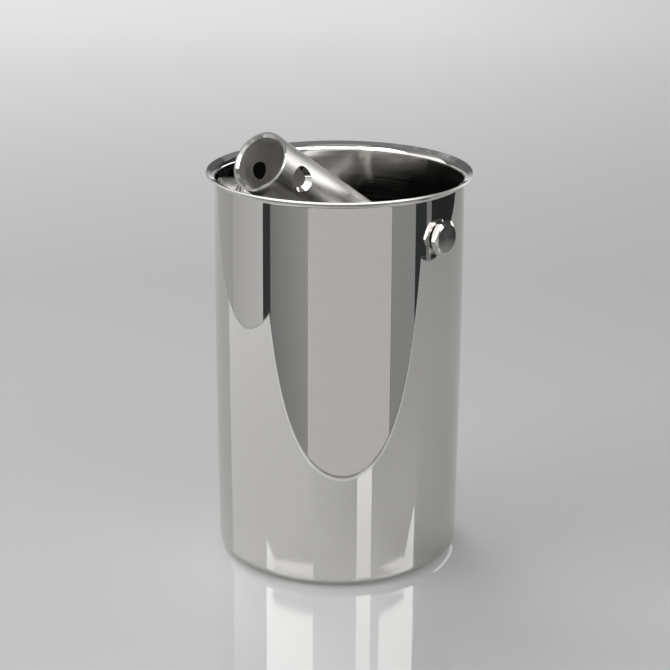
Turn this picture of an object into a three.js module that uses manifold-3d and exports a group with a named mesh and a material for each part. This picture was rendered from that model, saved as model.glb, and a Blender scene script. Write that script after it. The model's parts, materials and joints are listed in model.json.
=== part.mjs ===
// Swing sampling beaker, about one litre, in stainless steel.
//
// A deep-drawn cylindrical beaker with a flared lip carries a round cross bar just
// below its mouth, held by a hex screw through each side of the wall. A short
// socket tube, which takes the end of a long handle rod, turns on the bar on two
// flanged bushes, so the beaker hangs upright whatever the handle's angle. At rest the
// tube leans on the lip.
//
// Millimetres, +Z up. The origin is the centre of the base's underside. The cross bar
// lies along X, and the socket tube leans towards -Y.

import * as THREE from 'three';
import { mergeVertices } from 'three/addons/utils/BufferGeometryUtils.js';
import Module from 'manifold-3d';

const wasm = await Module();
wasm.setup();

// ---- Driving dimensions ------------------------------------------------------------

// Clearance between neighbouring pieces.
const GAP = 0.3;

// Beaker
const BEAKER_HEIGHT = 167;
const WALL_TOP_RADIUS = 52;
const WALL_BASE_RADIUS = 52.2;
const WALL_BULGE = 0.45;
const WALL_STEPS = 8;
const SHEET = 0.9;
const BASE_CORNER_RADIUS = 4.4;
const LIP_RADIUS = 55.6;
const LIP_BEND_RADIUS = 3;
const LIP_RISE = THREE.MathUtils.degToRad(22);
const BEAKER_SIDES = 72;

// Pivot and cross bar
const PIVOT_HEIGHT = 147.2;
const BAR_RADIUS = 5;
const SLEEVE_RADIUS = 7;
const SEAL_THICKNESS = 1;
const THREAD_DEPTH = 15;

// Hex screws, 13 mm across the flats
const HEX_ACROSS_FLATS = 13;
const HEAD_THICKNESS = 3.4;
const HEAD_FACE_RADIUS = 5.9;
const HEAD_CHAMFER_DROP = 1.1;
const SHANK_RADIUS = 3;
const SHANK_LENGTH = 17;

// Socket tube, measured along its own axis from the pivot
const TUBE_RADIUS = 12.5;
const TUBE_BORE_RADIUS = 10.5;
const TUBE_TO_MOUTH = 59;
const TUBE_TO_TAIL = 16;
const MOUTH_CHAMFER_INSIDE = 1;
const MOUTH_CHAMFER_OUTSIDE = 0.3;

// Cross hole for the handle rod's spring button, countersunk on the outside
const BUTTON_HOLE_RADIUS = 3.5;
const BUTTON_HOLE_FROM_MOUTH = 13.6;
const COUNTERSINK_RADIUS = 6.1;

// Flanged bushes
const BUSH_BARREL_RADIUS = 6.7;
const BUSH_FLANGE_RADIUS = 8.5;
const BUSH_FLANGE_THICKNESS = 1.2;
const BUSH_INNER_END = 9.5;

// ---- Places worked out from the driving dimensions ---------------------------------

const screwHoleRadius = SHANK_RADIUS + GAP;

// Centre of the lip's bend, in the section plane: x is the radius, y the height.
const lipEdgeRadius = LIP_RADIUS - SHEET * Math.sin(LIP_RISE);
const bendRadiusFromAxis = WALL_TOP_RADIUS - SHEET + LIP_BEND_RADIUS;
const bendEndRadius = bendRadiusFromAxis - LIP_BEND_RADIUS * Math.sin(LIP_RISE);
const lipClimb = (lipEdgeRadius - bendEndRadius) * Math.tan(LIP_RISE);
const bendHeight = BEAKER_HEIGHT - lipClimb - LIP_BEND_RADIUS * Math.cos(LIP_RISE);
const lipBend = new THREE.Vector2(bendRadiusFromAxis, bendHeight);

// The tube's underside rests on the bend, so the bend's centre fixes the rest angle.
const bendReach = Math.hypot(lipBend.x, lipBend.y - PIVOT_HEIGHT);
const bendElevation = Math.atan2(lipBend.y - PIVOT_HEIGHT, lipBend.x);
const restOffset = TUBE_RADIUS + LIP_BEND_RADIUS + GAP;
const restElevation = bendElevation + Math.asin(restOffset / bendReach);

// Outside of the wall, which bows outwards very slightly between corner and lip.
function wallRadius(height) {
  const along = (height - BASE_CORNER_RADIUS) / (bendHeight - BASE_CORNER_RADIUS);
  const straight = THREE.MathUtils.lerp(WALL_BASE_RADIUS, WALL_TOP_RADIUS, along);
  return straight + 4 * WALL_BULGE * along * (1 - along);
}

const wallOutside = wallRadius(PIVOT_HEIGHT);
const wallInside = wallOutside - SHEET;

// Stack along the bar, from the wall inwards. The seal's rim clears the curved wall.
const wallAtSeal = Math.sqrt(wallInside ** 2 - SLEEVE_RADIUS ** 2);
const sealOuterEnd = wallAtSeal - GAP;
const sealInnerEnd = sealOuterEnd - SEAL_THICKNESS;
const barEnd = sealInnerEnd - GAP;
const bushFlangeStart = TUBE_RADIUS + GAP;
const bushFlangeEnd = bushFlangeStart + BUSH_FLANGE_THICKNESS;
const sleeveStart = bushFlangeEnd + GAP;
const headStart = wallOutside + GAP;

// ---- Materials ---------------------------------------------------------------------

function steel(color, roughness) {
  return new THREE.MeshStandardMaterial({ color, roughness, metalness: 1 });
}

const polishedSteel = () => steel(0xc8c7c4, 0.12);
const brushedSteel = () => steel(0xb9b6b1, 0.3);
const turnedSteel = () => steel(0xc2c0bc, 0.22);
const whitePolymer = () =>
  new THREE.MeshStandardMaterial({ color: 0xe6e3dc, roughness: 0.5, metalness: 0 });

// ---- Solid helpers -----------------------------------------------------------------

function toSolid(geometry) {
  const bare = geometry.clone();
  bare.deleteAttribute('normal');
  bare.deleteAttribute('uv');
  const merged = mergeVertices(bare, 1e-5);
  return new wasm.Manifold(new wasm.Mesh({
    numProp: 3,
    vertProperties: new Float32Array(merged.attributes.position.array),
    triVerts: new Uint32Array(merged.index.array),
  }));
}

function toGeometry(solid) {
  const cut = solid.getMesh();
  const geometry = new THREE.BufferGeometry();
  geometry.setAttribute('position', new THREE.BufferAttribute(cut.vertProperties, 3));
  geometry.setIndex(new THREE.BufferAttribute(cut.triVerts, 1));
  geometry.computeVertexNormals();
  return geometry;
}

function toMesh(name, solid, material) {
  const mesh = new THREE.Mesh(toGeometry(solid), material);
  mesh.name = name;
  return mesh;
}

// Points on an arc of the section, angles in degrees.
function arc(centre, radius, from, to, steps) {
  return Array.from({ length: steps + 1 }, (_, i) => {
    const angle = THREE.MathUtils.degToRad(from + ((to - from) * i) / steps);
    const offset = new THREE.Vector2(Math.cos(angle), Math.sin(angle));
    return offset.multiplyScalar(radius).add(centre);
  });
}

function points(pairs) {
  return pairs.map(([x, y]) => new THREE.Vector2(x, y));
}

// A solid of revolution about Z. The section runs anticlockwise, x the radius.
function revolved(section, sides) {
  const geometry = new THREE.LatheGeometry(section, sides);
  geometry.rotateX(Math.PI / 2);
  return toSolid(geometry);
}

// The same, turned so that its axis is X.
function revolvedAboutX(section, sides) {
  const geometry = new THREE.LatheGeometry(section, sides);
  geometry.rotateZ(-Math.PI / 2);
  return toSolid(geometry);
}

// A ring along X between two stations.
function ringAlongX(innerRadius, outerRadius, from, to, sides) {
  const corners = [
    [innerRadius, from],
    [outerRadius, from],
    [outerRadius, to],
    [innerRadius, to],
    [innerRadius, from],
  ];
  return revolvedAboutX(points(corners), sides);
}

// A plain rod along X between two stations.
function rodAlongX(radius, from, to, sides) {
  const corners = [[0, from], [radius, from], [radius, to], [0, to]];
  return revolvedAboutX(points(corners), sides);
}

// ---- Beaker ------------------------------------------------------------------------

// The wall's section between corner and lip, going up, set inwards by a depth.
function wallPoints(depth) {
  return Array.from({ length: WALL_STEPS - 1 }, (_, i) => {
    const along = (i + 1) / WALL_STEPS;
    const height = THREE.MathUtils.lerp(BASE_CORNER_RADIUS, bendHeight, along);
    return new THREE.Vector2(wallRadius(height) - depth, height);
  });
}

function beaker() {
  const lipAngle = 90 + THREE.MathUtils.radToDeg(LIP_RISE);
  const cornerCentre = new THREE.Vector2(
    WALL_BASE_RADIUS - BASE_CORNER_RADIUS,
    BASE_CORNER_RADIUS,
  );
  const lipTop = [lipEdgeRadius, BEAKER_HEIGHT];
  const lipUnderside = [LIP_RADIUS, BEAKER_HEIGHT - SHEET * Math.cos(LIP_RISE)];
  const section = [
    new THREE.Vector2(0, 0),
    ...arc(cornerCentre, BASE_CORNER_RADIUS, -90, 0, 5),
    ...wallPoints(0),
    ...arc(lipBend, LIP_BEND_RADIUS - SHEET, 180, lipAngle, 4),
    ...points([lipUnderside, lipTop]),
    ...arc(lipBend, LIP_BEND_RADIUS, lipAngle, 180, 5),
    ...wallPoints(SHEET).reverse(),
    ...arc(cornerCentre, BASE_CORNER_RADIUS - SHEET, 0, -90, 4),
    new THREE.Vector2(0, SHEET),
  ];
  const shell = revolved(section, BEAKER_SIDES);
  const screwHoles = rodAlongX(screwHoleRadius, -LIP_RADIUS, LIP_RADIUS, 24);
  const drilled = shell.subtract(screwHoles.translate([0, 0, PIVOT_HEIGHT]));
  return toMesh('beaker', drilled, polishedSteel());
}

// ---- Cross bar, sleeves, seals and screws, all about the pivot axis ------------------

function crossBar() {
  const bar = rodAlongX(BAR_RADIUS, -barEnd, barEnd, 32);
  const holeEnd = barEnd - THREAD_DEPTH;
  const rightHole = rodAlongX(screwHoleRadius, holeEnd, barEnd + 1, 24);
  const leftHole = rodAlongX(screwHoleRadius, -barEnd - 1, -holeEnd, 24);
  return toMesh('cross_bar', bar.subtract(rightHole).subtract(leftHole), brushedSteel());
}

function spacerSleeve() {
  return ringAlongX(BAR_RADIUS + GAP, SLEEVE_RADIUS, sleeveStart, barEnd, 32);
}

function sealWasher() {
  return ringAlongX(screwHoleRadius, SLEEVE_RADIUS, sealInnerEnd, sealOuterEnd, 32);
}

// The head is a hexagonal prism with both ends chamfered in the lathe, one pair of
// its corners level, on a plain shank.
function hexScrew() {
  const headEnd = headStart + HEAD_THICKNESS;
  const cornerRadius = HEX_ACROSS_FLATS / Math.sqrt(3);
  const prism = new THREE.CylinderGeometry(cornerRadius, cornerRadius, HEAD_THICKNESS, 6);
  prism.rotateZ(-Math.PI / 2);
  prism.rotateX(Math.PI / 2);
  prism.translate((headStart + headEnd) / 2, 0, 0);
  const chamferSpread = cornerRadius + 0.1;
  const chamfers = revolvedAboutX(points([
    [0, headStart],
    [HEAD_FACE_RADIUS, headStart],
    [chamferSpread, headStart + HEAD_CHAMFER_DROP],
    [chamferSpread, headEnd - HEAD_CHAMFER_DROP],
    [HEAD_FACE_RADIUS, headEnd],
    [0, headEnd],
  ]), 48);
  const head = toSolid(prism).intersect(chamfers);
  const shankInHead = 1;
  const shank = rodAlongX(SHANK_RADIUS, headStart - SHANK_LENGTH, headStart + shankInHead, 24);
  return head.add(shank);
}

// ---- Socket tube and its bushes, about the tube's own axis Z -------------------------

function countersunkHole() {
  const depth = COUNTERSINK_RADIUS - BUTTON_HOLE_RADIUS;
  const coneStart = TUBE_RADIUS - depth;
  const section = [
    [0, 0],
    [BUTTON_HOLE_RADIUS, 0],
    [BUTTON_HOLE_RADIUS, coneStart],
    [COUNTERSINK_RADIUS + 1, TUBE_RADIUS + 1],
    [0, TUBE_RADIUS + 1],
  ];
  return revolvedAboutX(points(section), 32);
}

function socketTube() {
  const barrel = revolved(points([
    [TUBE_BORE_RADIUS, -TUBE_TO_TAIL],
    [TUBE_RADIUS, -TUBE_TO_TAIL],
    [TUBE_RADIUS, TUBE_TO_MOUTH - MOUTH_CHAMFER_OUTSIDE],
    [TUBE_RADIUS - MOUTH_CHAMFER_OUTSIDE, TUBE_TO_MOUTH],
    [TUBE_BORE_RADIUS + MOUTH_CHAMFER_INSIDE, TUBE_TO_MOUTH],
    [TUBE_BORE_RADIUS, TUBE_TO_MOUTH - MOUTH_CHAMFER_INSIDE],
    [TUBE_BORE_RADIUS, -TUBE_TO_TAIL],
  ]), 48);
  const bushHoles = rodAlongX(BUSH_BARREL_RADIUS + GAP, -TUBE_RADIUS - 1, TUBE_RADIUS + 1, 32);
  const buttonHeight = TUBE_TO_MOUTH - BUTTON_HOLE_FROM_MOUTH;
  const rightButtonHole = countersunkHole().translate([0, 0, buttonHeight]);
  const leftButtonHole = countersunkHole().rotate([0, 0, 180]).translate([0, 0, buttonHeight]);
  const drilled = barrel.subtract(bushHoles).subtract(rightButtonHole).subtract(leftButtonHole);
  return toMesh('socket_tube', drilled, brushedSteel());
}

function pivotBush() {
  return revolvedAboutX(points([
    [BAR_RADIUS + GAP, BUSH_INNER_END],
    [BUSH_BARREL_RADIUS, BUSH_INNER_END],
    [BUSH_BARREL_RADIUS, bushFlangeStart],
    [BUSH_FLANGE_RADIUS, bushFlangeStart],
    [BUSH_FLANGE_RADIUS, bushFlangeEnd],
    [BAR_RADIUS + GAP, bushFlangeEnd],
    [BAR_RADIUS + GAP, BUSH_INNER_END],
  ]), 32);
}

// ---- Assembly ------------------------------------------------------------------------

// A piece made for the +X side, and its twin turned half round for the -X side.
function pair(name, solid, material) {
  const right = toMesh(`${name}_right`, solid, material());
  const left = toMesh(`${name}_left`, solid.rotate([0, 0, 180]), material());
  return [right, left];
}

const pivotGroup = new THREE.Group();
pivotGroup.position.z = PIVOT_HEIGHT;
pivotGroup.add(
  crossBar(),
  ...pair('spacer_sleeve', spacerSleeve(), brushedSteel),
  ...pair('seal_washer', sealWasher(), whitePolymer),
  ...pair('hex_screw', hexScrew(), turnedSteel),
);

const socketGroup = new THREE.Group();
socketGroup.position.z = PIVOT_HEIGHT;
socketGroup.rotation.x = Math.PI / 2 - restElevation;
socketGroup.add(
  socketTube(),
  ...pair('pivot_bush', pivotBush(), whitePolymer),
);

const group = new THREE.Group();
group.name = 'swing_beaker';
group.add(beaker(), pivotGroup, socketGroup);

export default group;
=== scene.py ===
"""Looks for the swing sampling beaker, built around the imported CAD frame.

Each piece is a section revolved about its own Z axis, drilled where the real one is, and
given exact normals from its section, so that a mirror finish shows no facets. Sections are
in millimetres in the piece's own frame. The piece's object carries its place, in metres.
"""

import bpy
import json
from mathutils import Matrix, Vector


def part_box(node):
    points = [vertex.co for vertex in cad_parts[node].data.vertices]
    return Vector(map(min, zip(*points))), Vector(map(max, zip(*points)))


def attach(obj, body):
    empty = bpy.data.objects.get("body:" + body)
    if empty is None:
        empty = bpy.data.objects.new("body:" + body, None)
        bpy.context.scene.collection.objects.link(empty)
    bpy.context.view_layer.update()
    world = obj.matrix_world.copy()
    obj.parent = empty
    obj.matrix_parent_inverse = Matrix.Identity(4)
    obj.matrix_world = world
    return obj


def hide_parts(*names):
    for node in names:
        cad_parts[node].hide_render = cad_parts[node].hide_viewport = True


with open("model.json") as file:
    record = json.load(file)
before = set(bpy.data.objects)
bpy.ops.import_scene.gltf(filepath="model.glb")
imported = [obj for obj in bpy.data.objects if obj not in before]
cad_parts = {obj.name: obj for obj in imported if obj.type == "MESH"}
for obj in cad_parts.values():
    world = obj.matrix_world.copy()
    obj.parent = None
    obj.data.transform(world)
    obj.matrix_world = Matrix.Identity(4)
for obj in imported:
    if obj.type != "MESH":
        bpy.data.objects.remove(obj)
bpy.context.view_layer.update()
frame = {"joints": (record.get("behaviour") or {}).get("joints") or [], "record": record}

import json
import math

import bmesh
import bpy
import numpy as np
from mathutils import Matrix, Vector

MM = 0.001

# ---- Sizes, in millimetres ---------------------------------------------------------------

BEAKER_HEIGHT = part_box("beaker")[1].z / MM
LIP_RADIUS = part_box("beaker")[1].x / MM
WALL_TOP_RADIUS = 52.0
WALL_BASE_RADIUS = 52.2
WALL_BULGE = 0.45
SHEET = 0.9
BASE_CORNER_RADIUS = 4.4
LIP_BEND_RADIUS = 3.0
LIP_RISE = 22.0
LIP_EDGE_ROUND = 0.15

BAR_RADIUS = 5.0
BAR_CHAMFER = 0.4
BAR_HOLE_DEPTH = 15.0
SLEEVE_RADIUS = 7.0
SLEEVE_EDGE_ROUND = 0.3
WASHER_EDGE_ROUND = 0.2
SCREW_HOLE_RADIUS = 3.3
GAP = 0.3

HEX_ACROSS_FLATS = 13.0
HEAD_THICKNESS = 3.4
HEAD_FACE_RADIUS = 5.9
HEAD_CHAMFER_DROP = 1.1
HEAD_BLANK_EXTRA = 0.15
SHANK_RADIUS = 3.0
SHANK_END_ROUND = 0.4

TUBE_RADIUS = 12.5
TUBE_BORE_RADIUS = 10.5
TUBE_TO_TAIL = 16.0
TUBE_EDGE_BREAK = 0.2
MOUTH_CHAMFER_INSIDE = 1.0
MOUTH_CHAMFER_OUTSIDE = 0.3
BUTTON_HOLE_RADIUS = 3.5
BUTTON_HOLE_FROM_MOUTH = 13.6
COUNTERSINK_RADIUS = 6.1

BUSH_BARREL_RADIUS = 6.7
BUSH_FLANGE_RADIUS = 8.5
BUSH_INNER_END = 9.5
BUSH_FLANGE_THICKNESS = 1.2
BUSH_EDGE_ROUND = 0.25

FINE_SIDES = 360
TUBE_SIDES = 192
SMALL_SIDES = 96
DRILL_SIDES = 48
BAR_STEPS = 20
TUBE_STEPS = 24
CUTTER_EXTRA = 1.0
SAME_POINT = 1e-5

# ---- Places, from the frame --------------------------------------------------------------

record = frame["record"]
pivot = Vector(frame["joints"][0]["pos_m"])
mouth_mount = next(m for m in record["mounts"] if m["name"] == "socket_mouth_face")
tube_axis = Vector(mouth_mount["axis"])
TUBE_TO_MOUTH = (Vector(mouth_mount["pos_m"]) - pivot).dot(tube_axis) / MM
PIVOT_HEIGHT = pivot.z / MM


def x_range(node_name):
    """The lowest and highest X of a CAD node, in millimetres."""
    low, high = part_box(node_name)
    return low.x / MM, high.x / MM


HEAD_END = x_range("hex_screw_right")[1]
HEAD_START = HEAD_END - HEAD_THICKNESS
SHANK_START = x_range("hex_screw_right")[0]
BAR_END = x_range("cross_bar")[1]

# ---- Sections ----------------------------------------------------------------------------
# A section is a list of runs going anticlockwise round the solid. A run is a finish number
# and its points, each (radius, height, normal's radius part, normal's height part).


def line(finish, start, end, steps=1):
    """A straight run. Its normals point to the right of the way it goes."""
    along = np.linspace(0, 1, steps + 1)[:, None]
    start, end = np.array(start, float), np.array(end, float)
    direction = (end - start) / np.linalg.norm(end - start)
    spots = start + (end - start) * along
    normals = np.tile((direction[1], -direction[0]), (len(spots), 1))
    return finish, np.hstack((spots, normals))


def arc(finish, centre, radius, start, end, steps):
    """An arc between two angles in degrees. It bulges outwards where the angle grows."""
    angles = np.radians(np.linspace(start, end, steps + 1))
    directions = np.stack((np.cos(angles), np.sin(angles)), axis=1)
    spots = np.array(centre, float) + radius * directions
    normals = directions if end > start else -directions
    return finish, np.hstack((spots, normals))


def rounded(finish, corners, radius, steps=3):
    """A closed chain of straight runs with every corner rounded off."""
    count = len(corners)
    cut = []
    for i in range(count):
        here = np.array(corners[i], float)
        before = np.array(corners[i - 1], float) - here
        after = np.array(corners[(i + 1) % count], float) - here
        before /= np.linalg.norm(before)
        after /= np.linalg.norm(after)
        half = math.acos(float(before @ after)) / 2
        inset = radius / math.tan(half)
        middle = (before + after) / np.linalg.norm(before + after)
        centre = here + middle * radius / math.sin(half)
        cut.append((here + before * inset, here + after * inset, centre))
    runs = []
    for i in range(count):
        start, end, centre = cut[i]
        from_angle = math.degrees(math.atan2(*(start - centre)[::-1]))
        to_angle = math.degrees(math.atan2(*(end - centre)[::-1]))
        turn = (to_angle - from_angle + 180) % 360 - 180
        runs.append(arc(finish, centre, radius, from_angle, from_angle + turn, steps))
        runs.append(line(finish, end, cut[(i + 1) % count][0]))
    return runs


# ---- Meshes ------------------------------------------------------------------------------


def revolve(name, runs, sides):
    """A closed mesh in millimetres, from a section revolved about Z."""
    section = []
    for _, points in runs:
        for radius, height in points[:, :2]:
            if not section or math.dist(section[-1], (radius, height)) > SAME_POINT:
                section.append((radius, height))
    closed = math.dist(section[0], section[-1]) < SAME_POINT
    if closed:
        section.pop()
    mesh = bmesh.new()
    rings = []
    for radius, height in section:
        count = 1 if radius < SAME_POINT else sides
        angles = [2 * math.pi * i / sides for i in range(count)]
        ring = [mesh.verts.new((radius * math.cos(a), radius * math.sin(a), height)) for a in angles]
        rings.append(ring * (sides // count))
    following = rings[1:] + rings[:1] if closed else rings[1:]
    for low, high in zip(rings, following):
        for i in range(sides):
            j = (i + 1) % sides
            corners = list(dict.fromkeys((low[i], low[j], high[j], high[i])))
            mesh.faces.new(corners)
    return as_object(name, mesh)


def as_object(name, mesh):
    """Links a new object that holds the bmesh, which it frees."""
    data = bpy.data.meshes.new(name)
    mesh.to_mesh(data)
    mesh.free()
    piece = bpy.data.objects.new(name, data)
    bpy.context.scene.collection.objects.link(piece)
    return piece


def prism(name, sides, radius, low, high, first_angle):
    """A straight prism about Z, with its first corner at an angle in degrees."""
    mesh = bmesh.new()
    angles = [math.radians(first_angle) + 2 * math.pi * i / sides for i in range(sides)]
    rings = [
        [mesh.verts.new((radius * math.cos(a), radius * math.sin(a), z)) for a in angles]
        for z in (low, high)
    ]
    mesh.faces.new(reversed(rings[0]))
    mesh.faces.new(rings[1])
    for i in range(sides):
        j = (i + 1) % sides
        mesh.faces.new((rings[0][i], rings[0][j], rings[1][j], rings[1][i]))
    return as_object(name, mesh)


def combine(piece, cutter, operation="DIFFERENCE"):
    """Cuts the piece with the cutter, or keeps what they share, and removes the cutter."""
    modifier = piece.modifiers.new("cut", "BOOLEAN")
    modifier.operation = operation
    modifier.solver = "EXACT"
    modifier.object = cutter
    graph = bpy.context.evaluated_depsgraph_get()
    piece.data = bpy.data.meshes.new_from_object(piece.evaluated_get(graph))
    piece.modifiers.clear()
    bpy.data.objects.remove(cutter)


def section_segments(runs):
    """Start, end, start normal, end normal and finish of every stretch of the section."""
    stretches = [
        (a[:2], b[:2], a[2:], b[2:], finish)
        for finish, points in runs
        for a, b in zip(points, points[1:])
    ]
    return [np.array(column) for column in zip(*stretches)]


NEAR_STRETCH = 0.12
SAME_WAY = 0.9
NO_STRETCH = 1e9


def finish_surface(piece, solids):
    """Sets exact normals and finishes, from the sections that the faces came from.

    solids holds (runs, matrix, side): the matrix takes a section's frame to the piece's,
    and side is -1 for a section that was cut away. A face belongs to a stretch of a section
    where its middle is within NEAR_STRETCH of it and faces the same way. Others stay flat.
    """
    mesh = piece.data
    mesh.shade_smooth()
    faces = len(mesh.polygons)
    corners = len(mesh.loops)
    centres = np.zeros(faces * 3)
    mesh.polygons.foreach_get("center", centres)
    centres = centres.reshape(-1, 3)
    flat = np.zeros(faces * 3)
    mesh.polygons.foreach_get("normal", flat)
    flat = flat.reshape(-1, 3)
    totals = np.zeros(faces, int)
    mesh.polygons.foreach_get("loop_total", totals)
    face_of_corner = np.repeat(np.arange(faces), totals)
    vertex_of_corner = np.zeros(corners, int)
    mesh.loops.foreach_get("vertex_index", vertex_of_corner)
    spots = np.zeros(len(mesh.vertices) * 3)
    mesh.vertices.foreach_get("co", spots)
    spots = spots.reshape(-1, 3)[vertex_of_corner]
    normals = flat[face_of_corner].copy()
    finishes = np.zeros(faces, int)
    settled = np.zeros(faces, bool)
    for runs, matrix, side in solids:
        starts, ends, start_normals, end_normals, finish = section_segments(runs)
        back = np.array(matrix.inverted())
        turn = back[:3, :3]
        local = centres @ turn.T + back[:3, 3]
        local_flat = flat @ turn.T * side
        radius = np.hypot(local[:, 0], local[:, 1])
        outward = local[:, :2] / np.maximum(radius, 1e-9)[:, None]
        flat_section = np.stack(((local_flat[:, :2] * outward).sum(1), local_flat[:, 2]), axis=1)
        middles = np.stack((radius, local[:, 2]), axis=1)
        spans = ends - starts
        lengths = (spans**2).sum(1)
        best = np.full(faces, NO_STRETCH)
        chosen = np.zeros(faces, int)
        for i in range(len(starts)):
            share = np.clip(((middles - starts[i]) @ spans[i]) / lengths[i], 0, 1)
            distance = np.linalg.norm(middles - starts[i] - share[:, None] * spans[i], axis=1)
            way = start_normals[i] + end_normals[i]
            agreement = flat_section @ (way / np.linalg.norm(way))
            score = np.where(agreement > SAME_WAY, distance, NO_STRETCH)
            better = score < best
            best[better] = score[better]
            chosen[better] = i
        found = (best < NEAR_STRETCH) & ~settled
        settled |= found
        finishes[found] = finish[chosen[found]]
        mine = found[face_of_corner]
        pick = chosen[face_of_corner[mine]]
        here = spots[mine] @ turn.T + back[:3, 3]
        radius = np.hypot(here[:, 0], here[:, 1])
        outward = here[:, :2] / np.maximum(radius, 1e-9)[:, None]
        corner_spots = np.stack((radius, here[:, 2]), axis=1)
        share = ((corner_spots - starts[pick]) * spans[pick]).sum(1) / lengths[pick]
        share = np.clip(share, 0, 1)[:, None]
        bent = start_normals[pick] * (1 - share) + end_normals[pick] * share
        bent /= np.linalg.norm(bent, axis=1)[:, None]
        exact = np.column_stack((outward * bent[:, :1], bent[:, 1])) * side
        normals[mine] = exact @ np.linalg.inv(turn).T
    mesh.polygons.foreach_set("material_index", finishes)
    mesh.normals_split_custom_set([tuple(n) for n in normals])


def place(piece, matrix, body, node_name, materials):
    """Scales the piece to metres, puts it in place and hands it to the frame."""
    for material in materials:
        piece.data.materials.append(material)
    piece.data.transform(Matrix.Scale(MM, 4))
    piece.matrix_world = matrix
    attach(piece, body)
    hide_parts(node_name)


# ---- Materials ---------------------------------------------------------------------------


def node(tree, kind, inputs=None, **settings):
    """A new shader node. An input is a value, or the socket that it is linked from."""
    made = tree.nodes.new(kind)
    for name, value in settings.items():
        setattr(made, name, value)
    for name, value in (inputs or {}).items():
        if isinstance(value, bpy.types.NodeSocket):
            tree.links.new(value, made.inputs[name])
        else:
            made.inputs[name].default_value = value
    return made


def noise(tree, scale, detail=2.0, roughness=0.5, offset=0.0):
    """Noise in the piece's own frame, with its own scale along each axis, per metre."""
    spot = node(tree, "ShaderNodeTexCoord").outputs["Object"]
    mapped = node(
        tree,
        "ShaderNodeMapping",
        {"Vector": spot, "Scale": scale, "Location": (offset, offset, offset)},
    )
    made = node(
        tree,
        "ShaderNodeTexNoise",
        {"Vector": mapped.outputs["Vector"], "Scale": 1.0, "Detail": detail, "Roughness": roughness},
    )
    return made.outputs["Fac"]


def ring_noise(tree, scale):
    """Noise that changes only with the distance from the piece's axis."""
    spot = node(tree, "ShaderNodeTexCoord").outputs["Object"]
    flat = node(tree, "ShaderNodeVectorMath", {0: spot, 1: (1.0, 1.0, 0.0)}, operation="MULTIPLY")
    radius = node(tree, "ShaderNodeVectorMath", {0: flat.outputs["Vector"]}, operation="LENGTH")
    made = node(
        tree,
        "ShaderNodeTexNoise",
        {"W": radius.outputs["Value"], "Scale": scale, "Detail": 2.0, "Roughness": 0.6},
        noise_dimensions="1D",
    )
    return made.outputs["Fac"]


def remap(tree, value, low, high):
    """Spreads the middle of a noise, where most of it lies, from low to high."""
    made = node(
        tree,
        "ShaderNodeMapRange",
        {"Value": value, "From Min": 0.3, "From Max": 0.7, "To Min": low, "To Max": high},
    )
    return made.outputs["Result"]


def blend_colors(tree, share, first, second):
    made = node(tree, "ShaderNodeMix", {"Factor": share}, data_type="RGBA")
    made.inputs[6].default_value = (*first, 1.0)
    made.inputs[7].default_value = (*second, 1.0)
    return made.outputs[2]


def bump(tree, height, strength, distance, normal=None):
    inputs = {"Height": height, "Strength": strength, "Distance": distance}
    if normal is not None:
        inputs["Normal"] = normal
    return node(tree, "ShaderNodeBump", inputs).outputs["Normal"]


def steel(name, colors, streak_scale, roughness, anisotropy, rotation, streak_bump, dent_bump):
    """Stainless steel with fine streaks, soft smudges and a slight waviness.

    colors and roughness each run from one streak to the next. streak_scale is how often the
    streaks change along each axis, or, for a turned face, along its radius, per metre. rotation
    turns the wide side of the gloss: 0.25 is along the piece's axis or the face's radius, 0 is
    round it. A bump is a strength and a height in metres.
    """
    material = bpy.data.materials.new(name)
    material.use_nodes = True
    tree = material.node_tree
    tree.nodes.clear()
    turned = isinstance(streak_scale, float)
    streaks = ring_noise(tree, streak_scale) if turned else noise(tree, streak_scale, 3.0, 0.65)
    smudges = noise(tree, (28.0, 28.0, 22.0), 3.0, 0.55, 3.1)
    dents = noise(tree, (24.0, 24.0, 14.0), 1.0, 0.4, 7.7)
    color = blend_colors(tree, remap(tree, streaks, 0.0, 1.0), *colors)
    spread = remap(tree, streaks, roughness[0], roughness[1])
    smear = remap(tree, smudges, 0.88, 1.2)
    rough = node(tree, "ShaderNodeMath", operation="MULTIPLY")
    tree.links.new(spread, rough.inputs[0])
    tree.links.new(smear, rough.inputs[1])
    normal = bump(tree, dents, dent_bump[0], dent_bump[1])
    normal = bump(tree, streaks, streak_bump[0], streak_bump[1], normal)
    tangent = node(tree, "ShaderNodeTangent", direction_type="RADIAL", axis="Z")
    shader = node(
        tree,
        "ShaderNodeBsdfPrincipled",
        {
            "Base Color": color,
            "Metallic": 1.0,
            "Roughness": rough.outputs[0],
            "Anisotropic": anisotropy,
            "Anisotropic Rotation": rotation,
            "Normal": normal,
            "Tangent": tangent.outputs["Tangent"],
        },
    )
    output = node(tree, "ShaderNodeOutputMaterial")
    tree.links.new(shader.outputs["BSDF"], output.inputs["Surface"])
    return material


def polymer(name):
    material = bpy.data.materials.new(name)
    material.use_nodes = True
    tree = material.node_tree
    tree.nodes.clear()
    grain = noise(tree, (900.0, 900.0, 900.0), 3.0, 0.6)
    clouds = noise(tree, (60.0, 60.0, 60.0), 2.0, 0.5, 2.3)
    shader = node(
        tree,
        "ShaderNodeBsdfPrincipled",
        {
            "Base Color": blend_colors(tree, clouds, (0.76, 0.75, 0.71), (0.84, 0.83, 0.80)),
            "Roughness": remap(tree, grain, 0.42, 0.58),
            "Normal": bump(tree, grain, 0.15, 0.0001),
        },
    )
    output = node(tree, "ShaderNodeOutputMaterial")
    tree.links.new(shader.outputs["BSDF"], output.inputs["Surface"])
    return material


# Streaks that run round a piece's axis, and streaks that run along it.
AROUND = (14.0, 14.0, 1500.0)
ALONG = (1800.0, 1800.0, 22.0)

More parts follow.
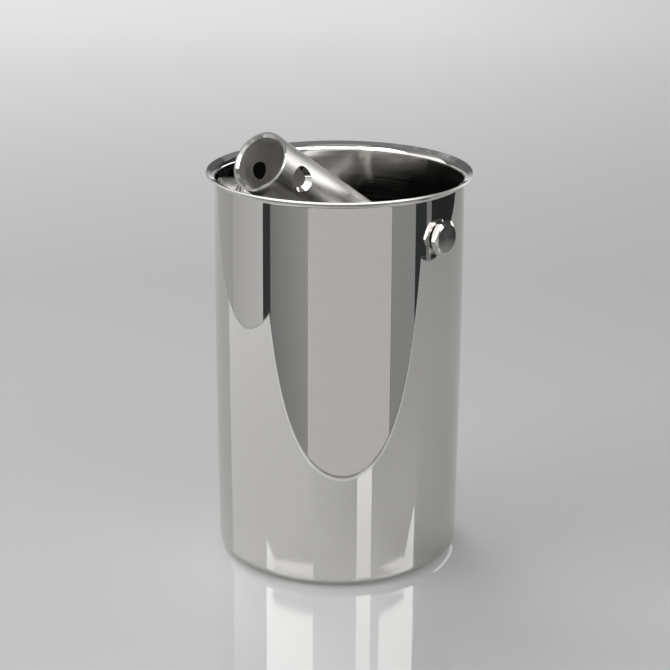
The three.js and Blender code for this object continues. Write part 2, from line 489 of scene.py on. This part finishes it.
mirror_steel = steel(
    "mirror_steel",
    ((0.625, 0.615, 0.60), (0.645, 0.635, 0.62)),
    AROUND,
    (0.012, 0.034),
    0.8,
    0.25,
    (0.012, 0.00002),
    (0.25, 0.00004),
)
inside_steel = steel(
    "inside_steel",
    ((0.57, 0.56, 0.545), (0.68, 0.67, 0.65)),
    AROUND,
    (0.05, 0.13),
    0.85,
    0.25,
    (0.2, 0.00003),
    (0.35, 0.0003),
)
base_steel = steel(
    "base_steel",
    ((0.52, 0.51, 0.50), (0.62, 0.61, 0.59)),
    (900.0, 900.0, 20.0),
    (0.2, 0.3),
    0.5,
    0.25,
    (0.2, 0.00003),
    (0.3, 0.0001),
)
brushed_steel = steel(
    "brushed_steel",
    ((0.48, 0.47, 0.455), (0.70, 0.685, 0.665)),
    ALONG,
    (0.24, 0.38),
    0.75,
    0.0,
    (0.5, 0.00004),
    (0.1, 0.00005),
)
turned_steel = steel(
    "turned_steel",
    ((0.54, 0.53, 0.515), (0.64, 0.63, 0.61)),
    (60.0, 60.0, 60.0),
    (0.08, 0.15),
    0.6,
    0.25,
    (0.1, 0.00003),
    (0.1, 0.00003),
)
face_steel = steel(
    "turned_face_steel",
    ((0.50, 0.49, 0.48), (0.58, 0.57, 0.555)),
    2500.0,
    (0.08, 0.13),
    0.6,
    0.25,
    (0.1, 0.00001),
    (0.1, 0.00002),
)
bore_steel = steel(
    "bored_steel",
    ((0.60, 0.585, 0.57), (0.80, 0.785, 0.765)),
    (260.0, 260.0, 900.0),
    (0.3, 0.46),
    0.3,
    0.25,
    (0.35, 0.00006),
    (0.4, 0.0003),
)
edge_steel = steel(
    "cut_edge_steel",
    ((0.50, 0.49, 0.475), (0.58, 0.57, 0.555)),
    (200.0, 200.0, 200.0),
    (0.34, 0.44),
    0.0,
    0.0,
    (0.1, 0.00002),
    (0.1, 0.00002),
)
white_polymer = polymer("white_polymer")

# ---- Beaker ------------------------------------------------------------------------------

# The beaker's finishes, in the order of its materials.
OUTSIDE, INSIDE, UNDERSIDE, EDGE = 0, 1, 2, 3


def lip_geometry():
    """The bend's centre and the two outer corners of the lip's sheet."""
    rise = math.radians(LIP_RISE)
    up_normal = np.array((-math.sin(rise), math.cos(rise)))
    top_corner = np.array((LIP_RADIUS + SHEET * up_normal[0], BEAKER_HEIGHT))
    bottom_corner = top_corner - SHEET * up_normal
    bend_radius = WALL_TOP_RADIUS - SHEET + LIP_BEND_RADIUS
    bend_end = bend_radius - LIP_BEND_RADIUS * math.sin(rise)
    climb = (top_corner[0] - bend_end) * math.tan(rise)
    bend_height = BEAKER_HEIGHT - climb - LIP_BEND_RADIUS * math.cos(rise)
    return np.array((bend_radius, bend_height)), bottom_corner, top_corner


def wall_run(finish, low, high, depth, steps):
    """The wall's section going up, which bows outwards slightly, set inwards by depth."""
    along = np.linspace(0, 1, steps + 1)
    height = low + (high - low) * along
    swell = WALL_BASE_RADIUS + (WALL_TOP_RADIUS - WALL_BASE_RADIUS) * along
    swell = swell + 4 * WALL_BULGE * along * (1 - along)
    slope = (WALL_TOP_RADIUS - WALL_BASE_RADIUS + 4 * WALL_BULGE * (1 - 2 * along)) / (high - low)
    size = np.hypot(1, slope)
    points = np.column_stack((swell - depth, height, 1 / size, -slope / size))
    return finish, points


def turned_back(run):
    """The same run for the other side of the sheet, going down."""
    finish, points = run
    points = points[::-1].copy()
    points[:, 2:] *= -1
    return finish, points


def beaker_section():
    bend, bottom_corner, top_corner = lip_geometry()
    corner = (WALL_BASE_RADIUS - BASE_CORNER_RADIUS, BASE_CORNER_RADIUS)
    rise = math.radians(LIP_RISE)
    outward = np.array((math.cos(rise), math.sin(rise)))
    upward = np.array((-outward[1], outward[0]))
    inset = outward * LIP_EDGE_ROUND
    lower_round = bottom_corner - inset + upward * LIP_EDGE_ROUND
    upper_round = top_corner - inset - upward * LIP_EDGE_ROUND
    under_bend = bend + (LIP_BEND_RADIUS - SHEET) * upward
    over_bend = bend + LIP_BEND_RADIUS * upward
    lip_angle = 90 + LIP_RISE
    inner_corner_radius = BASE_CORNER_RADIUS - SHEET
    inner_corner = (corner[0], SHEET)
    return [
        line(UNDERSIDE, (0, 0), (corner[0], 0), 12),
        arc(OUTSIDE, corner, BASE_CORNER_RADIUS, -90, 0, 12),
        wall_run(OUTSIDE, BASE_CORNER_RADIUS, bend[1], 0, 40),
        arc(OUTSIDE, bend, LIP_BEND_RADIUS - SHEET, 180, lip_angle, 8),
        line(OUTSIDE, under_bend, bottom_corner - inset, 2),
        arc(EDGE, lower_round, LIP_EDGE_ROUND, LIP_RISE - 90, LIP_RISE, 4),
        line(EDGE, lower_round + inset, upper_round + inset),
        arc(EDGE, upper_round, LIP_EDGE_ROUND, LIP_RISE, lip_angle, 4),
        line(OUTSIDE, top_corner - inset, over_bend, 2),
        arc(OUTSIDE, bend, LIP_BEND_RADIUS, lip_angle, 180, 10),
        turned_back(wall_run(INSIDE, BASE_CORNER_RADIUS, bend[1], SHEET, 40)),
        arc(INSIDE, corner, inner_corner_radius, 0, -90, 10),
        line(INSIDE, inner_corner, (0, SHEET), 12),
    ]


def turned_to(axis):
    """The shortest rotation that takes Z to the axis."""
    return Vector((0, 0, 1)).rotation_difference(Vector(axis)).to_matrix().to_4x4()


def cylinder_section(radius, low, high):
    """A solid round bar's section, all of one finish."""
    corners = [(0, low), (radius, low), (radius, high), (0, high)]
    return [line(0, a, b) for a, b in zip(corners, corners[1:])]


def beaker():
    section = beaker_section()
    piece = revolve("beaker_shell", section, FINE_SIDES)
    drill = cylinder_section(SCREW_HOLE_RADIUS, -LIP_RADIUS, LIP_RADIUS)
    cutter = revolve("drill", drill, DRILL_SIDES)
    across = Matrix.Translation((0, 0, PIVOT_HEIGHT)) @ turned_to((1, 0, 0))
    cutter.data.transform(across)
    combine(piece, cutter)
    finish_surface(piece, [(section, Matrix.Identity(4), 1), (drill, across, -1)])
    materials = (mirror_steel, inside_steel, base_steel, edge_steel)
    place(piece, Matrix.Identity(4), "beaker_body", "beaker", materials)


# ---- Bar, sleeves, seals and screws --------------------------------------------------------


def on_pivot(direction):
    """The place of a piece whose axis runs from the pivot along X or against it."""
    return Matrix.Translation(pivot) @ turned_to((direction, 0, 0))


def ring(side, node_name, piece_name, bore, edge_round, slot, material):
    """A plain round sleeve or washer, as long as its CAD node."""
    low, high = sorted(abs(x) for x in x_range(node_name))
    corners = [(bore, low), (SLEEVE_RADIUS, low), (SLEEVE_RADIUS, high), (bore, high)]
    section = rounded(0, corners, edge_round)
    piece = revolve(piece_name, section, SMALL_SIDES)
    finish_surface(piece, [(section, Matrix.Identity(4), 1)])
    place(piece, on_pivot(side), "beaker_body", node_name, (material,))


def spacer_sleeve(side, side_name):
    name = f"spacer_sleeve_{side_name}"
    bore = BAR_RADIUS + GAP
    ring(side, name, f"{name}_turned", bore, SLEEVE_EDGE_ROUND, "brushed_steel", brushed_steel)


def seal_washer(side, side_name):
    name = f"seal_washer_{side_name}"
    bore = SCREW_HOLE_RADIUS
    ring(side, name, f"{name}_moulded", bore, WASHER_EDGE_ROUND, "white_polymer", white_polymer)


def cross_bar():
    """A chamfered rod with a screw hole in each end."""
    end_radius = BAR_RADIUS - BAR_CHAMFER
    straight_end = BAR_END - BAR_CHAMFER
    section = [
        line(0, (0, -BAR_END), (end_radius, -BAR_END)),
        line(0, (end_radius, -BAR_END), (BAR_RADIUS, -straight_end)),
        line(0, (BAR_RADIUS, -straight_end), (BAR_RADIUS, straight_end), BAR_STEPS),
        line(0, (BAR_RADIUS, straight_end), (end_radius, BAR_END)),
        line(0, (end_radius, BAR_END), (0, BAR_END)),
    ]
    piece = revolve("cross_bar_rod", section, SMALL_SIDES)
    solids = [(section, Matrix.Identity(4), 1)]
    drill = cylinder_section(SCREW_HOLE_RADIUS, BAR_END - BAR_HOLE_DEPTH, BAR_END + CUTTER_EXTRA)
    for where in (Matrix.Identity(4), Matrix.Rotation(math.pi, 4, "X")):
        cutter = revolve("drill", drill, DRILL_SIDES)
        cutter.data.transform(where)
        combine(piece, cutter)
        solids.append((drill, where, -1))
    finish_surface(piece, solids)
    place(piece, on_pivot(1), "beaker_body", "cross_bar", (brushed_steel,))


def hex_screw(side, side_name):
    """A hex head turned at both ends, with a pair of its corners level, on a plain shank."""
    corner_radius = HEX_ACROSS_FLATS / math.sqrt(3)
    blank = corner_radius + HEAD_BLANK_EXTRA
    shank_end = SHANK_RADIUS - SHANK_END_ROUND
    shank_low = SHANK_START + SHANK_END_ROUND
    head_low = HEAD_START + HEAD_CHAMFER_DROP
    head_high = HEAD_END - HEAD_CHAMFER_DROP
    flat, face = 0, 1
    section = [
        line(flat, (0, SHANK_START), (shank_end, SHANK_START)),
        line(flat, (shank_end, SHANK_START), (SHANK_RADIUS, shank_low)),
        line(flat, (SHANK_RADIUS, shank_low), (SHANK_RADIUS, HEAD_START)),
        line(face, (SHANK_RADIUS, HEAD_START), (HEAD_FACE_RADIUS, HEAD_START)),
        line(flat, (HEAD_FACE_RADIUS, HEAD_START), (blank, head_low)),
        line(flat, (blank, head_low), (blank, head_high)),
        line(flat, (blank, head_high), (HEAD_FACE_RADIUS, HEAD_END)),
        line(face, (HEAD_FACE_RADIUS, HEAD_END), (0, HEAD_END), 6),
    ]
    piece = revolve(f"hex_screw_{side_name}_turned", section, SMALL_SIDES)
    low, high = SHANK_START - CUTTER_EXTRA, HEAD_END + CUTTER_EXTRA
    hexagon = prism("hexagon", 6, corner_radius, low, high, 30)
    combine(piece, hexagon, "INTERSECT")
    finish_surface(piece, [(section, Matrix.Identity(4), 1)])
    materials = (turned_steel, face_steel)
    node_name = f"hex_screw_{side_name}"
    place(piece, on_pivot(side), "beaker_body", node_name, materials)


# ---- Socket tube ---------------------------------------------------------------------------

# The tube's finishes, in the order of its materials.
BARREL, CUT, BORE = 0, 1, 2


def socket_tube():
    """The tube on its own axis, with holes for the bushes and for the rod's button."""
    bore, outside = TUBE_BORE_RADIUS, TUBE_RADIUS
    mouth, tail = TUBE_TO_MOUTH, -TUBE_TO_TAIL
    inner, outer = MOUTH_CHAMFER_INSIDE, MOUTH_CHAMFER_OUTSIDE
    corners = [
        (bore + TUBE_EDGE_BREAK, tail),
        (outside - TUBE_EDGE_BREAK, tail),
        (outside, tail + TUBE_EDGE_BREAK),
        (outside, mouth - outer),
        (outside - outer, mouth),
        (bore + inner, mouth),
        (bore, mouth - inner),
        (bore, tail + TUBE_EDGE_BREAK),
    ]
    section = []
    for start, end in zip(corners, corners[1:] + corners[:1]):
        if abs(start[1] - end[1]) > outside:
            finish = BORE if start[0] == bore else BARREL
            section.append(line(finish, start, end, TUBE_STEPS))
        else:
            section.append(line(CUT, start, end))
    piece = revolve("socket_tube_barrel", section, TUBE_SIDES)
    solids = [(section, Matrix.Identity(4), 1)]
    beyond = outside + CUTTER_EXTRA
    bush_drill = cylinder_section(BUSH_BARREL_RADIUS + GAP, -beyond, beyond)
    cutter = revolve("drill", bush_drill, SMALL_SIDES)
    across = turned_to((1, 0, 0))
    cutter.data.transform(across)
    combine(piece, cutter)
    solids.append((bush_drill, across, -1))
    cone_start = outside - (COUNTERSINK_RADIUS - BUTTON_HOLE_RADIUS)
    countersink = [
        (0, 0),
        (BUTTON_HOLE_RADIUS, 0),
        (BUTTON_HOLE_RADIUS, cone_start),
        (COUNTERSINK_RADIUS + CUTTER_EXTRA, beyond),
        (0, beyond),
    ]
    sink_section = [line(CUT, a, b) for a, b in zip(countersink, countersink[1:])]
    for side in (1, -1):
        cutter = revolve("drill", sink_section, SMALL_SIDES)
        where = Matrix.Translation((0, 0, mouth - BUTTON_HOLE_FROM_MOUTH)) @ turned_to((side, 0, 0))
        cutter.data.transform(where)
        combine(piece, cutter)
        solids.append((sink_section, where, -1))
    finish_surface(piece, solids)
    where = Matrix.Translation(pivot) @ turned_to(tube_axis)
    materials = (brushed_steel, turned_steel, bore_steel)
    place(piece, where, "socket", "socket_tube", materials)


def pivot_bush(side, side_name):
    """A flanged bush, pressed into the tube and turning on the cross bar."""
    flange_end = max(abs(x) for x in x_range(f"pivot_bush_{side_name}"))
    flange_start = flange_end - BUSH_FLANGE_THICKNESS
    bore = BAR_RADIUS + GAP
    corners = [
        (bore, BUSH_INNER_END),
        (BUSH_BARREL_RADIUS, BUSH_INNER_END),
        (BUSH_BARREL_RADIUS, flange_start),
        (BUSH_FLANGE_RADIUS, flange_start),
        (BUSH_FLANGE_RADIUS, flange_end),
        (bore, flange_end),
    ]
    section = rounded(0, corners, BUSH_EDGE_ROUND)
    piece = revolve(f"pivot_bush_{side_name}_moulded", section, SMALL_SIDES)
    finish_surface(piece, [(section, Matrix.Identity(4), 1)])
    node_name = f"pivot_bush_{side_name}"
    place(piece, on_pivot(side), "socket", node_name, (white_polymer,))


beaker()
cross_bar()
socket_tube()
for side, side_name in ((1, "right"), (-1, "left")):
    hex_screw(side, side_name)
    pivot_bush(side, side_name)
    spacer_sleeve(side, side_name)
    seal_washer(side, side_name)

# ---- Studio --------------------------------------------------------------------------------
# The studio is set out as seen from the camera: right, away from it, and up, in metres.

CAMERA_AZIMUTH = math.radians(39.3)
CAMERA_DISTANCE = 0.6955
CAMERA_HEIGHT = 0.3332
CAMERA_TILT = math.radians(18.972)
CAMERA_PAN = math.radians(0.125)
CAMERA_ROLL = math.radians(0.305)
FOCAL_LENGTH = 91.98
SENSOR_WIDTH = 36

TABLE_LEVEL = -0.0003
TABLE_CORNERS = [(-0.3694, -0.1946), (0.532, -0.13), (0.532, 0.645), (-0.3694, 0.645)]
# The tabletop's edge strips: painted shade at the very edge, and a painted highlight just inside it.
TABLE_EDGE_SHADE_WIDTH = 0.0028
TABLE_EDGE_WIDTH = 0.0065
TABLE_COLOR = (0.48, 0.48, 0.47)
TABLE_EDGE_PAINTED_SHADE = (0.12, 0.12, 0.12)
TABLE_EDGE_PAINTED_HIGHLIGHT = (0.70, 0.70, 0.69)
FLOOR_COLOR = (0.475, 0.485, 0.48)
FLOOR_REACH = 4.5
FLOOR_BEND = 2.0
WALL_TOP = 5.0
# An even painted glow on the floor and tabletop, from no lamp, that lifts the cast shade under the
# object.
PAINTED_FILL_GLOW = 0.08

SURROUND_DISTANCE = 0.78
SURROUND_LEVELS = (-28, -0.15)
ROOM_FLOOR_LEVEL = -0.002
ROOM_FLOOR_GLOW = 0.45
LIGHT_DISTANCE = 3.2
ROOM_DISTANCE = 3.4
WORLD_GLOW = 0.2
CARD_COLUMN = 3
CARD_ROW = 4

studio_turn = Matrix.Rotation(CAMERA_AZIMUTH, 4, "Z")


def studio(right, away, up):
    return studio_turn @ Vector((right, away, up))


def by_bearing(bearing, distance, up):
    """A point at a bearing in degrees: 0 is towards the camera, and 90 is to the right."""
    angle = math.radians(bearing)
    return studio(distance * math.sin(angle), -distance * math.cos(angle), up)


def add_camera():
    data = bpy.data.cameras.new("camera")
    data.lens = FOCAL_LENGTH
    data.sensor_width = SENSOR_WIDTH
    data.clip_start = 0.01
    data.clip_end = 30
    camera = bpy.data.objects.new("camera", data)
    bpy.context.scene.collection.objects.link(camera)
    pan = Matrix.Rotation(CAMERA_PAN, 4, "Z")
    level = Matrix.Rotation(math.pi / 2 - CAMERA_TILT, 4, "X")
    roll = Matrix.Rotation(CAMERA_ROLL, 4, "Z")
    spot = Matrix.Translation(studio(0, -CAMERA_DISTANCE, CAMERA_HEIGHT))
    camera.matrix_world = spot @ studio_turn @ pan @ level @ roll
    bpy.context.scene.camera = camera


def glow_material(name, color):
    """A plain glowing material. Its strength is the mesh's "glow" attribute."""
    material = bpy.data.materials.new(name)
    material.use_nodes = True
    material.cycles.emission_sampling = "NONE"
    tree = material.node_tree
    tree.nodes.clear()
    strength = node(tree, "ShaderNodeAttribute", attribute_name="glow").outputs["Fac"]
    emission = node(tree, "ShaderNodeEmission", {"Color": (*color, 1.0), "Strength": strength})
    output = node(tree, "ShaderNodeOutputMaterial")
    tree.links.new(emission.outputs["Emission"], output.inputs["Surface"])
    return material


def stage_mesh(name, corners, faces, material):
    """A new mesh that belongs to the studio and not to the beaker."""
    data = bpy.data.meshes.new(name)
    data.from_pydata([tuple(c) for c in corners], [], faces)
    data.materials.append(material)
    made = bpy.data.objects.new(name, data)
    bpy.context.scene.collection.objects.link(made)
    return made


def set_glows(made, strengths):
    made.data.attributes.new("glow", "FLOAT", "POINT").data.foreach_set("value", strengths)


def only_reflected(made, diffuse=False):
    """Leaves a stage mesh in reflections only, and in soft light where diffuse is set."""
    made.visible_camera = False
    made.visible_diffuse = diffuse
    made.visible_shadow = False
    made.visible_transmission = False
    made.visible_volume_scatter = False


def card(name, bearings, levels, glows, material, distance):
    """A curved glowing card round the object, seen only in reflections.

    It runs between two bearings and between two elevations in degrees, as seen from the middle
    of the base, and bends every CARD_COLUMN and CARD_ROW degrees or so. A level is one
    elevation, or two for a slanting edge. glows are its strengths at the low start, the low
    end, the high start and the high end.
    """
    columns = max(2, round(abs(bearings[1] - bearings[0]) / CARD_COLUMN))
    rows = max(1, round(abs(np.mean(levels[1]) - np.mean(levels[0])) / CARD_ROW))
    edges = [level if isinstance(level, tuple) else (level, level) for level in levels]
    corners = []
    strengths = []
    for row in range(rows + 1):
        for column in range(columns + 1):
            up = row / rows
            along = column / columns
            low = edges[0][0] + (edges[0][1] - edges[0][0]) * along
            high = edges[1][0] + (edges[1][1] - edges[1][0]) * along
            elevation = math.radians(low + (high - low) * up)
            bearing = bearings[0] + (bearings[1] - bearings[0]) * along
            reach = distance * math.cos(elevation)
            corners.append(by_bearing(bearing, reach, distance * math.sin(elevation)))
            below = glows[0] + (glows[1] - glows[0]) * along
            above = glows[2] + (glows[3] - glows[2]) * along
            strengths.append(below + (above - below) * up)
    width = columns + 1
    faces = [
        (row * width + i, row * width + i + 1, (row + 1) * width + i + 1, (row + 1) * width + i)
        for row in range(rows)
        for i in range(columns)
    ]
    made = stage_mesh(name, corners, faces, material)
    set_glows(made, strengths)
    only_reflected(made)


def tabletop_material(name, color, roughness, glow=0.0):
    """A faintly clouded gloss. Its glow is painted light: an even glow of its own, from no lamp,
    that lifts the cast shade under the object.
    """
    material = bpy.data.materials.new(name)
    material.use_nodes = True
    tree = material.node_tree
    tree.nodes.clear()
    clouds = noise(tree, (3.0, 3.0, 3.0), 2.0, 0.5)
    darker = tuple(c * 0.985 for c in color)
    shader = node(
        tree,
        "ShaderNodeBsdfPrincipled",
        {
            "Base Color": blend_colors(tree, clouds, darker, color),
            "Roughness": roughness,
            "IOR": 1.5,
            "Emission Color": (1.0, 1.0, 1.0, 1.0),
            "Emission Strength": glow,
        },
    )
    output = node(tree, "ShaderNodeOutputMaterial")
    tree.links.new(shader.outputs["BSDF"], output.inputs["Surface"])
    return material


def quads(rings, sides):
    """The faces between each ring of corners and the next, with the corners in ring order."""
    faces = []
    for row in range(rings - 1):
        low = row * sides
        high = low + sides
        for i in range(sides):
            j = (i + 1) % sides
            faces.append((low + i, low + j, high + j, high + i))
    return faces


def backdrop():
    """A wide pale floor that curves up into a wall all round, seen only by the camera."""
    wall = FLOOR_REACH + FLOOR_BEND
    section = [
        line(0, (0, 0), (FLOOR_REACH, 0), 8),
        arc(0, (FLOOR_REACH, FLOOR_BEND), FLOOR_BEND, -90, 0, 24),
        line(0, (wall, FLOOR_BEND), (wall, WALL_TOP), 2),
    ]
    spots = [tuple(p[:2]) for _, points in section for p in points]
    sides = 96
    corners = []
    for radius, height in spots:
        for i in range(sides):
            angle = 2 * math.pi * i / sides
            corners.append((radius * math.cos(angle), radius * math.sin(angle), height))
    # The floor's glow is painted light that lifts the cast shade under the beaker.
    material = tabletop_material("backdrop_pale", FLOOR_COLOR, 0.03, PAINTED_FILL_GLOW)
    made = stage_mesh("backdrop", corners, quads(len(spots), sides), material)
    for face in made.data.polygons:
        face.use_smooth = True
    made.visible_glossy = False
    made.visible_diffuse = False
    made.visible_shadow = False


def inset_corners(corners, depth):
    """The same four corners, each moved inwards along both axes."""
    across = sum(x for x, _ in corners) / 4
    away = sum(y for _, y in corners) / 4
    return [
        (x - math.copysign(depth, x - across), y - math.copysign(depth, y - away))
        for x, y in corners
    ]


def tabletop():
    """The table's finite top, which only reflections show: the beaker's wall mirrors its edges,
    which carry a painted shade strip outermost and a painted highlight strip inside it.
    """
    depths = (TABLE_EDGE_SHADE_WIDTH, TABLE_EDGE_WIDTH)
    rims = [TABLE_CORNERS] + [inset_corners(TABLE_CORNERS, depth) for depth in depths]
    corners = [studio(x, y, TABLE_LEVEL) for rim in rims for x, y in rim]
    faces = quads(len(rims), 4)
    # Painted shade and painted highlight: the dark outer strip and the light strip inside it stand
    # for the top's shaded side and lit bevel.
    painted_edge_shade = tabletop_material("table_edge_painted_shade", TABLE_EDGE_PAINTED_SHADE, 0.3)
    light = tabletop_material("table_edge_painted_highlight", TABLE_EDGE_PAINTED_HIGHLIGHT, 0.3)
    # The top's glow is painted light that lifts the cast shade under the beaker.
    pale = tabletop_material("table_pale", TABLE_COLOR, 0.0, PAINTED_FILL_GLOW)
    parts = (
        ("tabletop_edge_painted_shade", faces[:4], painted_edge_shade),
        ("tabletop_edge_painted_highlight", faces[4:], light),
        ("tabletop", [(8, 9, 10, 11)], pale),
    )
    for name, part_faces, material in parts:
        only_reflected(stage_mesh(name, corners, part_faces, material), diffuse=True)


WARM = (1.0, 0.98, 0.955)
NEUTRAL = (1.0, 1.0, 1.0)
COOL = (0.88, 0.96, 1.0)

# What lies below the table's level, past its edge: each strip's bearings, its glow at the low
# start, the low end, the high start and the high end, and its tint.
SURROUND = (
    (-180, -150, (0.45, 0.45, 0.45, 0.45), NEUTRAL),
    (-150, -110, (0.46, 0.46, 0.46, 0.46), NEUTRAL),
    (-110, -71, (0.52, 0.64, 0.52, 0.64), NEUTRAL),
    (-70.8, -63, (0.05, 0.05, 0.05, 0.05), NEUTRAL),
    (-62.5, -27, (0.20, 0.30, 0.26, 0.42), NEUTRAL),
    (-27, 47, (0.66, 0.64, 0.66, 0.64), WARM),
    (47.4, 71, (0.31, 0.30, 0.34, 0.33), NEUTRAL),
    (71, 83.7, (0.045, 0.045, 0.045, 0.045), COOL),
    (83.7, 89.6, (0.25, 0.25, 0.25, 0.25), NEUTRAL),
    (89.6, 146, (0.03, 0.025, 0.03, 0.025), NEUTRAL),
    (146, 180, (0.20, 0.24, 0.20, 0.24), NEUTRAL),
)

# The room's walls and ceiling, then its lights: name, bearings, elevations and glows.
ROOM = (
    ("room_left", (-121, -24.4), (0.2, 28.5), (1.55, 1.4, 1.55, 1.4)),
    ("room_front", (-24.4, 31.5), (0.2, 24), (0.9, 0.9, 1.1, 1.1)),
    ("room_front_high", (-24.4, 31.5), (24, 28.5), (1.1, 1.1, 2.3, 2.3)),
    ("room_front_top", (-24.4, 41), (28.5, 62), (2.3, 2.3, 2.2, 2.2)),
    ("room_right_front", (31.5, 81.2), (0.2, 20), (0.3, 0.2, 0.2, 0.12)),
    ("room_right_front_high", (31.5, 81.2), (20, 28.5), (0.2, 0.12, 2.4, 0.9)),
    ("room_right_low", (102, 145), (0.1, 10.3), (3.4, 3.4, 3.2, 3.2)),
    ("room_right", (81.2, 145), (10.3, 40), (0.15, 0.02, 0.15, 0.02)),
    ("room_right_up", (81.2, 145), (40, 62), (0.3, 0.3, 0.2, 0.2)),
    ("room_left_above", (-121, -71.6), (28.5, 34), (1.3, 1.3, 0.5, 0.5)),
    ("room_left_up", (-175, -71.6), (34, 62), (0.5, 0.5, 0.2, 0.2)),
    ("far_wall_low_right", (145, 177), (0.1, 5), (0.15, 0.85, 0.15, 0.85)),
    ("far_wall_low_left", (177, 230), (0.1, 5), (0.85, 1.0, 0.85, 1.0)),
    ("far_wall_middle_right", (145, 177), (5, 15), (0.15, 0.85, 0.04, 0.14)),
    ("far_wall_middle_left", (177, 230), (5, 15), (0.85, 1.0, 0.14, 0.18)),
    ("far_wall_high_right", (145, 177), (15, 30), (0.04, 0.14, 0.04, 0.18)),
    ("far_wall_high_left", (177, 230), (15, 30), (0.14, 0.18, 0.18, 0.2)),
    ("far_wall_top", (145, 230), (30, 75), (0.28, 0.28, 0.26, 0.26)),
    ("ceiling", (-180, 180), (76, 88), (0.6, 0.6, 0.6, 0.6)),
)
SOFTBOXES = (
    ("softbox_left_end", (-71.6, -61), ((25.9, 26.9), 62), (5.4, 5.4, 5.4, 5.4)),
    ("softbox_left", (-61, -22.9), ((26.85, 27.05), 62), (5.4, 5.4, 5.4, 5.4)),
    ("softbox_right", (40.7, 67), ((27.2, 26.6), 62), (5.0, 5.0, 5.0, 5.0)),
    ("softbox_right_end", (67, 78.2), ((26.7, 24.2), 62), (5.0, 5.0, 5.0, 5.0)),
    ("strip_light", (18.3, 32), (20, 60), (5.0, 5.0, 4.2, 4.2)),
)

# The lights that show in no reflection: name, place, target, width, radiance and whether they
# cast shadows.
FILLS = (
    ("fill_left", (-0.9, -0.3, 0.9), (-0.1, 0, 0), 0.7, 3.0, True),
    ("fill_left_even", (-0.9, -0.3, 0.9), (-0.1, 0, 0), 0.7, 2.6, False),
    ("fill_right", (0.5, -0.5, 0.7), (0.25, -0.1, 0), 0.5, 2.2, False),
    ("fill_overhead", (-1.0, 0.8, 2.6), (0, 0.6, 0), 2.0, 1.5, True),
    ("fill_backdrop", (-1.2, 3.2, 2.6), (-0.4, 3.0, 0), 2.4, 5.2, True),
)


def surround():
    for i, (start, end, glows, tint) in enumerate(SURROUND):
        name = f"surround_{i}"
        material = glow_material(name, tint)
        card(name, (start, end), SURROUND_LEVELS, glows, material, SURROUND_DISTANCE)


def room_floor():
    """The room's floor beyond the surround, which only reflections show."""
    sides = 72
    corners = [
        by_bearing(360 * i / sides, radius, ROOM_FLOOR_LEVEL)
        for radius in (SURROUND_DISTANCE, ROOM_DISTANCE)
        for i in range(sides)
    ]
    material = glow_material("room_floor", NEUTRAL)
    made = stage_mesh("room_floor", corners, quads(2, sides), material)
    set_glows(made, [ROOM_FLOOR_GLOW] * len(corners))
    only_reflected(made)


def room():
    """The lights, and behind them what stands round the table above its level."""
    for cards, distance in ((SOFTBOXES, LIGHT_DISTANCE), (ROOM, ROOM_DISTANCE)):
        for name, bearings, levels, glows in cards:
            card(name, bearings, levels, glows, glow_material(name, NEUTRAL), distance)


def fill_light(name, spot, target, width, radiance, casts_shadows):
    """A wide square light that evens out the floor."""
    data = bpy.data.lights.new(name, "AREA")
    data.shape = "SQUARE"
    data.size = width
    data.energy = radiance * math.pi * width * width
    data.use_shadow = casts_shadows
    made = bpy.data.objects.new(name, data)
    made.location = studio(*spot)
    aim = studio(*target) - made.location
    made.rotation_mode = "QUATERNION"
    made.rotation_quaternion = aim.to_track_quat("-Z", "Y")
    bpy.context.scene.collection.objects.link(made)
    made.visible_camera = False
    made.visible_glossy = False


def add_world():
    world = bpy.data.worlds.new("world")
    world.use_nodes = True
    background = world.node_tree.nodes["Background"]
    background.inputs["Color"].default_value = (1.0, 1.0, 1.0, 1.0)
    background.inputs["Strength"].default_value = WORLD_GLOW
    bpy.context.scene.world = world


add_camera()
backdrop()
tabletop()
surround()
room_floor()
room()
for fill in FILLS:
    fill_light(*fill)
add_world()
bpy.context.scene.view_settings.view_transform = "Standard"
